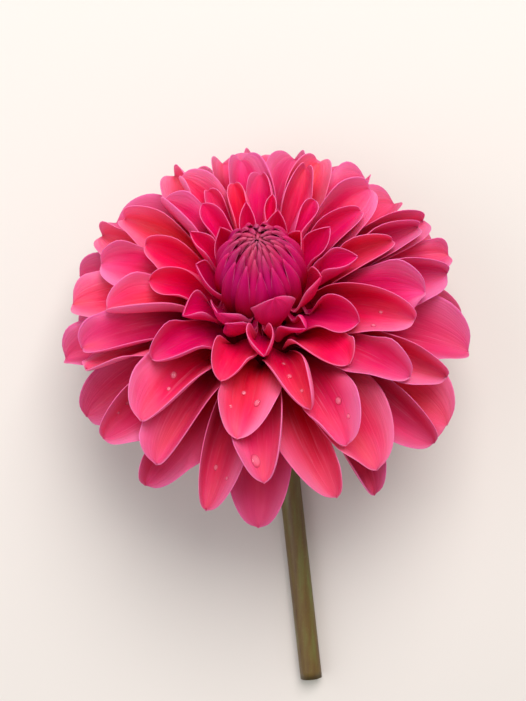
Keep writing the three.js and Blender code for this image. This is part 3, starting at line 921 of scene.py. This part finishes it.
def colour_property(name, description, default):
    """A displayed-colour property with a hex default."""
    channels = [int(default[i:i + 2], 16) / 255 for i in (1, 3, 5)]
    return bpy.props.FloatVectorProperty(name=name, description=description, default=channels,
                                         size=3, min=0, max=1, subtype="COLOR_GAMMA")


class PetalColours:
    """Hex colours of a petal material, read from a group of properties."""

    def __init__(self, group):
        for key in type(group).__annotations__:
            setattr(self, key, hex_of(getattr(group, key)))


class DAHLIA_PG_sizes(bpy.types.PropertyGroup):
    """Sizes that can be changed without leaving the frame."""

    petal_thickness: bpy.props.FloatProperty(name="Petal thickness", default=0.45, min=0.2, max=1,
                                             description="Thickness along a petal's midrib, in millimetres")
    petal_rows: bpy.props.IntProperty(name="Petal rows", default=28, min=6, max=60,
                                      description="Mesh rows from a petal's root to its tip")
    petal_lanes: bpy.props.IntProperty(name="Petal lanes", default=21, min=5, max=41,
                                       description="Mesh lanes from edge to edge of a petal")


class DAHLIA_PG_petal_colours(bpy.types.PropertyGroup):
    """Colours of the open petals."""

    # Throat and depth are partly the petal's own deeper crimson and partly painted shade deep in the head;
    # depth also colours the painted shade in the midrib's fold.
    throat: colour_property("Throat", "At the petal's root", "#7c0018")
    depth: colour_property("Depth", "In the lower third of the blade", "#c00036")
    blade: colour_property("Blade", "In the middle of the blade", "#e41e62")
    # Glow is painted light shining through the petal.
    glow: colour_property("Glow", "Warm coral patches along the midrib", "#ea5250")
    tip: colour_property("Tip", "Towards the tip", "#f25c96")
    # Margin is partly the petal's own paler pink and partly painted highlight.
    margin: colour_property("Margin", "Along the sides", "#fc8cbc")
    # Painted shade with a greyish sky reflection over the outer petals.
    dull_shade: colour_property("Dull shade", "Over the outer petals", "#bc4868")
    young: colour_property("Young", "All over the petals next to the bud", "#e00058")
    # The edge line is partly the petal's own pale rim and partly painted highlight.
    edge: colour_property("Edge", "Fine line at the very edge", "#fb7fc0")
    under: colour_property("Underside", "Back of the petal near its root", "#d8205c")
    under_tip: colour_property("Underside tip", "Back of the petal near its tip", "#f56a9c")


class DAHLIA_OT_petals(bpy.types.Operator):
    """Add the open petals, one piece for each ring"""

    bl_idname = "dahlia.petals"
    bl_label = "Petals"

    def execute(self, context):
        sizes = context.scene.dahlia_sizes
        skin = petal_material("dahlia_petal", PetalColours(context.scene.dahlia_petal_colours))
        stations = blade_stations(sizes.petal_rows, sizes.petal_lanes)
        rings = [ring_blades(ring, sizes) for ring in range(len(RING_COUNTS))]
        middles = np.concatenate([blade_middle(blades, *stations) for blades in rings])
        settle(middles, np.concatenate([blades["level"] for blades in rings]))
        world = bend_at_floor(to_world(middles), sizes.petal_thickness / 2)
        starts = np.cumsum(RING_COUNTS)[:-1]
        for ring, (blades, middle) in enumerate(zip(rings, np.split(world, starts))):
            blade_piece(f"petal_ring_{ring}", blades, middle, stations, skin, "petals")
        points, faces = smooth_turned(CORE_OUTLINE, CORE_ROWS, TURNED_SIDES)
        dark = dark_material("dahlia_core", "#4a000c", "#700016")
        make_piece("petal_core", to_world(points), faces, dark, "petals")
        return {"FINISHED"}


def floret_middle(ring, t, s):
    """Middle surfaces of a ring of folded florets, in head places.

    Each runs up the bud's outline, lies over its curve with a rounded keel and sunken edges, and
    tapers to a point; the part that an outer ring covers is sunk towards the bud's middle.
    """
    count, turn, start, stop, width, sink = BUD_RINGS[ring]
    k = np.arange(count)[:, None, None]
    n = FLORET_FIRST_DRAW + ring * DRAWS_A_RING + k
    t = t[None, :, None]
    s = s[None, None, :]
    azimuth = FIRST_PETAL + (k + turn) / count * TURN + FLORET_TURN_JITTER * draw(n, 1)
    end = np.minimum(stop * (1 + FLORET_END_JITTER * draw(n, 2)), BUD_TOP_SHARE)
    at = smooth_outline(BUD_OUTLINE, start + (end - start) * t)
    radius, height = at[..., 0], at[..., 1]
    foot = FLORET_FOOT_WIDTH + (1 - FLORET_FOOT_WIDTH) * smooth(t / FLORET_FOOT_REACH)
    half = width / 2 * foot * (1 - t ** FLORET_TAPER[0]) ** FLORET_TAPER[1]
    bare = smooth((t - FLORET_BARE_FROM) / (1 - FLORET_BARE_FROM))
    depth = (FLORET_FOLD[0] * s * s - FLORET_FOLD[1] * np.abs(s) ** 5) / FLORET_FOLD_MM
    depth = depth * (FLORET_FOLD_LEAST + smooth(half / FLORET_FOLD_HALF))
    lift = FLORET_LIFT * smooth((t - FLORET_LIFT_FROM) / (1 - FLORET_LIFT_FROM)) * (1 + draw(n, 3))
    share = 1 - sink * (1 - bare) - depth - FLORET_SUNK + lift
    angle = azimuth + half * s / np.maximum(radius, FLORET_BEND_RADIUS)
    x = radius * share * np.cos(angle)
    y = radius * share * np.sin(angle)
    z = BUD_MIDDLE + (height - BUD_MIDDLE) * share
    return np.stack([x, y, z], axis=-1)


class DAHLIA_OT_bud(bpy.types.Operator):
    """Add the closed bud in the middle of the head"""

    bl_idname = "dahlia.bud"
    bl_label = "Bud"

    def execute(self, context):
        skin = floret_material("dahlia_bud_floret")
        t = np.linspace(0, 1, FLORET_ROWS) ** FLORET_ROW_CROWDING * FLORET_LAST_ROW
        s = lane_places(FLORET_LANES, FLORET_LANE_CROWDING)
        thickness = FLORET_THICKNESS - FLORET_EDGE_THINNER * np.abs(s) ** 3
        for ring, (count, _, start, stop, _, _) in enumerate(BUD_RINGS):
            middle = to_world(floret_middle(ring, t, s))
            tone = draw(np.arange(count) + DRAWS_A_RING * ring, 17)[:, None, None, None]
            values = {"tone": tone, "level": start + (stop - start) * t[:, None]}
            grid_piece(f"bud_florets_{ring + 1}", middle, thickness, (t, s), skin, "bud",
                       values)
        inner = smooth_outline(BUD_OUTLINE, np.linspace(0, 1, BUD_CORE_ROWS)) - [0, BUD_MIDDLE]
        inner = inner * BUD_CORE_SHARE + [0, BUD_MIDDLE]
        outline = np.concatenate([[(0, inner[0][1])], inner])
        points, faces = turned_surface(outline, BUD_CORE_SIDES)
        dark = dark_material("dahlia_bud_depth", "#4a0016", "#6a0626")
        make_piece("bud_dome", to_world(points), faces, dark, "bud")
        return {"FINISHED"}


def bract_blades(ring, outer):
    """The bracts of one ring, as blades."""
    k = np.arange(ring["count"])
    n = BRACT_FIRST_DRAW + DRAWS_A_RING * outer + k
    one = np.ones(len(k))
    shift = [jitter * draw(n, salt) for jitter, salt in zip(BRACT_TIP_JITTER, (2, 3))]
    return {
        **drawn(BRACT_DRAWS, n),
        "azimuth": (k + ring["turn"]) / ring["count"] * TURN + BRACT_TURN_JITTER * draw(n, 1),
        "level": outer * one,
        "root": one[:, None] * ring["root"],
        "bend": one[:, None] * ring["bend"],
        "tip": ring["tip"] + np.stack(shift, axis=-1),
        "width": ring["width"] * (1 + WIDTH_JITTER * draw(n, 4)),
        "curl": np.radians(ring["curl"]) * (1 + CURL_JITTER * draw(n, 6)),
        "thickness": BRACT_THICKNESS,
    }


class DAHLIA_OT_calyx(bpy.types.Operator):
    """Add the green calyx under the head, with its two rings of bracts"""

    bl_idname = "dahlia.calyx"
    bl_label = "Calyx"

    def execute(self, context):
        points, faces = smooth_turned(CALYX_OUTLINE, CALYX_ROWS, TURNED_SIDES)
        make_piece("calyx_cup", to_world(points), faces, calyx_material("dahlia_calyx"), "calyx")
        leaf = bract_material("dahlia_bract")
        stations = blade_stations(BRACT_ROWS, BRACT_LANES)
        for outer, (name, ring) in enumerate(zip(("bracts_inner", "bracts_outer"), BRACT_RINGS)):
            blades = bract_blades(ring, outer)
            middle = bend_at_floor(to_world(blade_middle(blades, *stations)), BRACT_THICKNESS / 2)
            blade_piece(name, blades, middle, stations, leaf, "calyx")
        return {"FINISHED"}


def stem_path(steps):
    """Centre line: a cubic curve from under the calyx down to the surface, then a straight line.
    Returns world points and the tangent at each."""
    foot = CALYX_OUTLINE[0][1] - GAP
    start, leave = to_world(np.array([[0, 0, foot], [0, 0, foot - NECK_HANDLE]]))
    back = STEM_LANDING - STEM_END
    arrive = STEM_LANDING + back / np.linalg.norm(back) * NECK_HANDLE
    t = np.linspace(0, 1, steps)[:, None]
    neck = ((1 - t) ** 3 * start + 3 * (1 - t) ** 2 * t * leave
            + 3 * (1 - t) * t * t * arrive + t ** 3 * STEM_LANDING)
    run = STEM_LANDING + (STEM_END - STEM_LANDING) * np.linspace(0, 1, steps)[1:, None]
    path = np.concatenate([neck, run])
    tangent = np.gradient(path, axis=0)
    return path, tangent / np.linalg.norm(tangent, axis=1, keepdims=True)


def stem_surface(path, tangent, sides):
    """Rings of points along the stem and over its two ends, and how deep each lies in a cut.

    The section is a circle with shallow ridges: its radius falls and rises with a cosine. At each
    end the last ring is repeated with a shrinking radius, as the face of the cut.
    """
    sideways = np.cross(tangent, [0, 0, 1])
    sideways = sideways / np.linalg.norm(sideways, axis=1, keepdims=True)
    upward = np.cross(sideways, tangent)
    first = [(0, -ahead, share, cut) for ahead, share, cut in CUT_FACE[::-1]]
    body = [(i, 0, 1, 0) for i in range(len(path))]
    last = [(-1, ahead, share, cut) for ahead, share, cut in CUT_FACE]
    rows, ahead, share, cut = (np.array(column) for column in zip(*first, *body, *last))
    middle = path[rows] + tangent[rows] * ahead[:, None]
    angle = np.arange(sides) / sides * TURN
    ridges = 1 - STEM_RIDGE + STEM_RIDGE * np.cos(STEM_RIDGES * angle)
    radius = STEM_RADIUS * ridges * share[:, None]
    ring = (np.cos(angle)[None, :, None] * sideways[rows][:, None]
            + np.sin(angle)[None, :, None] * upward[rows][:, None])
    return middle[:, None] + radius[..., None] * ring, cut


class DAHLIA_OT_stem(bpy.types.Operator):
    """Add the cut stem"""

    bl_idname = "dahlia.stem"
    bl_label = "Stem"

    def execute(self, context):
        tube, cut = stem_surface(*stem_path(STEM_STEPS), STEM_SIDES)
        points = np.concatenate([tube.reshape(-1, 3), tube[:1].mean(axis=1), tube[-1:].mean(axis=1)])
        depth = np.concatenate([np.repeat(cut, STEM_SIDES), [1.0, 1.0]])
        # A ring's points run rightwards round the stem's way ahead, so each face is turned round.
        faces = [face[:1] + face[:0:-1] for face in tube_faces(len(tube), STEM_SIDES)]
        make_piece("stem_tube", points, faces, stem_material("dahlia_stem"), "stem",
                   values={"cut": depth})
        return {"FINISHED"}


def petal_points(lanes):
    """Places in millimetres and outward normals of the points on the petals' faces, away from
    their rims."""
    kept = []
    for piece in bpy.data.objects:
        if piece.name.startswith("petal_ring"):
            mesh = piece.data
            lane = np.arange(len(mesh.vertices)) % lanes
            inside = np.abs(lane - lanes // 2) < DEW_LANES * lanes
            values = np.empty((2, 3 * len(lane)), dtype=np.float32)
            mesh.vertices.foreach_get("co", values[0])
            mesh.vertex_normals.foreach_get("vector", values[1])
            kept.append(values.reshape(2, -1, 3)[:, inside])
    places, normals = np.concatenate(kept, axis=1)
    return places / MM, normals


class DAHLIA_OT_dew(bpy.types.Operator):
    """Add the dew drops, each on the petal that shows at its place in the photograph"""

    bl_idname = "dahlia.dew"
    bl_label = "Dew"

    def execute(self, context):
        places, normals = petal_points(context.scene.dahlia_sizes.petal_lanes)
        eye = camera_place()
        scale = PIXELS_PER_MM * CAMERA_RISE / (eye[2] - places[:, 2])
        seen = (places[:, :2] - eye[:2]) * scale[:, None] * [1, -1] + np.array(FRAME_PIXELS) / 2
        shape, faces = smooth_turned(DEW_OUTLINE, DEW_ROWS, DEW_SIDES)
        every, drops = [], []
        for i, (x, y, width) in enumerate(DEW):
            near = np.hypot(seen[:, 0] - x, seen[:, 1] - y) < DEW_SEARCH
            near &= normals[:, 2] > DEW_LEAST_UP
            best = np.flatnonzero(near)[np.argmax(places[near, 2])]
            up = normals[best] / np.linalg.norm(normals[best])
            side = np.cross(up, [DEW_TURN * draw(i, 21), 1, 0])
            side = side / np.linalg.norm(side)
            axes = np.stack([side, np.cross(up, side), up])
            size = width / 2 * np.array([1, DEW_STRETCH[0] + DEW_STRETCH[1] * draw(i, 22), 1])
            drops.append(places[best] + (shape * size) @ axes)
            every += [[corner + i * len(shape) for corner in face] for face in faces]
        foot = np.tile(1 - np.maximum(shape[:, 2], 0) / shape[:, 2].max(), len(DEW))
        make_piece("dew_drops", np.concatenate(drops), every, water_material("dew_water"), "petals",
                   values={"foot": foot})
        return {"FINISHED"}


def camera_place():
    """The camera's place in millimetres: straight over the spot that the frame's middle shows."""
    off = (np.array(FRAME_PIXELS) / 2 - HEAD_PIXEL) / PIXELS_PER_MM
    return HEAD_AT + [off[0], -off[1], CAMERA_RISE]


def add_lamp(name, place, size, power, colour):
    """A square soft lamp at a place in metres, turned towards the head."""
    lamp = bpy.data.lights.new(name, "AREA")
    lamp.size = size
    lamp.energy = power
    lamp.color = linear(colour)[:3]
    holder = bpy.data.objects.new(name, lamp)
    bpy.context.collection.objects.link(holder)
    way = HEAD_AT * MM - place
    holder.location = place
    holder.rotation_euler = Vector(way).to_track_quat("-Z", "Y").to_euler()


class DAHLIA_OT_stage(bpy.types.Operator):
    """Add the plain floor, the soft studio light and the camera"""

    bl_idname = "dahlia.stage"
    bl_label = "Stage"

    def execute(self, context):
        mesh = bpy.data.meshes.new("floor")
        corners = [(x * FLOOR_REACH, y * FLOOR_REACH, 0) for x, y in ((-1, -1), (1, -1), (1, 1), (-1, 1))]
        mesh.from_pydata(corners, [], [(0, 1, 2, 3)])
        floor = bpy.data.objects.new("floor", mesh)
        context.collection.objects.link(floor)
        mesh.materials.append(card_material("matt_card"))

        world = bpy.data.worlds.new("studio")
        world.use_nodes = True
        context.scene.world = world
        sky = world.node_tree.nodes["Background"]
        sky.inputs["Color"].default_value = linear(SKY_COLOUR)
        sky.inputs["Strength"].default_value = SKY_STRENGTH
        for lamp in LAMPS:
            add_lamp(*lamp)

        camera = bpy.data.cameras.new("camera")
        camera.sensor_fit = "HORIZONTAL"
        camera.lens = camera.sensor_width * PIXELS_PER_MM * CAMERA_RISE / FRAME_PIXELS[0]
        holder = bpy.data.objects.new("camera", camera)
        context.collection.objects.link(holder)
        holder.location = (camera_place() * MM).tolist()
        context.scene.camera = holder
        context.scene.view_settings.view_transform = "Standard"
        return {"FINISHED"}


class DAHLIA_PT_panel(bpy.types.Panel):
    """Lists the steps and the values that a user would change"""

    bl_label = "Dahlia"
    bl_idname = "DAHLIA_PT_panel"
    bl_space_type = "VIEW_3D"
    bl_region_type = "UI"
    bl_category = "Dahlia"

    def draw(self, context):
        for group in (context.scene.dahlia_sizes, context.scene.dahlia_petal_colours):
            for key in type(group).__annotations__:
                self.layout.prop(group, key)
        for step in STEPS:
            self.layout.operator(step.bl_idname)


GROUPS = {"dahlia_sizes": DAHLIA_PG_sizes, "dahlia_petal_colours": DAHLIA_PG_petal_colours}
STEPS = (DAHLIA_OT_petals, DAHLIA_OT_bud, DAHLIA_OT_calyx, DAHLIA_OT_stem, DAHLIA_OT_dew, DAHLIA_OT_stage)


def register():
    for group in GROUPS.values():
        bpy.utils.register_class(group)
    for step in STEPS:
        bpy.utils.register_class(step)
    bpy.utils.register_class(DAHLIA_PT_panel)
    for key, group in GROUPS.items():
        setattr(bpy.types.Scene, key, bpy.props.PointerProperty(type=group))


def unregister():
    for key in GROUPS:
        delattr(bpy.types.Scene, key)
    for part in (DAHLIA_PT_panel, *STEPS, *GROUPS.values()):
        bpy.utils.unregister_class(part)


def main():
    register()
    for step in STEPS:
        group, name = step.bl_idname.split(".")
        getattr(getattr(bpy.ops, group), name)()


if __name__ == "__main__":
    main()
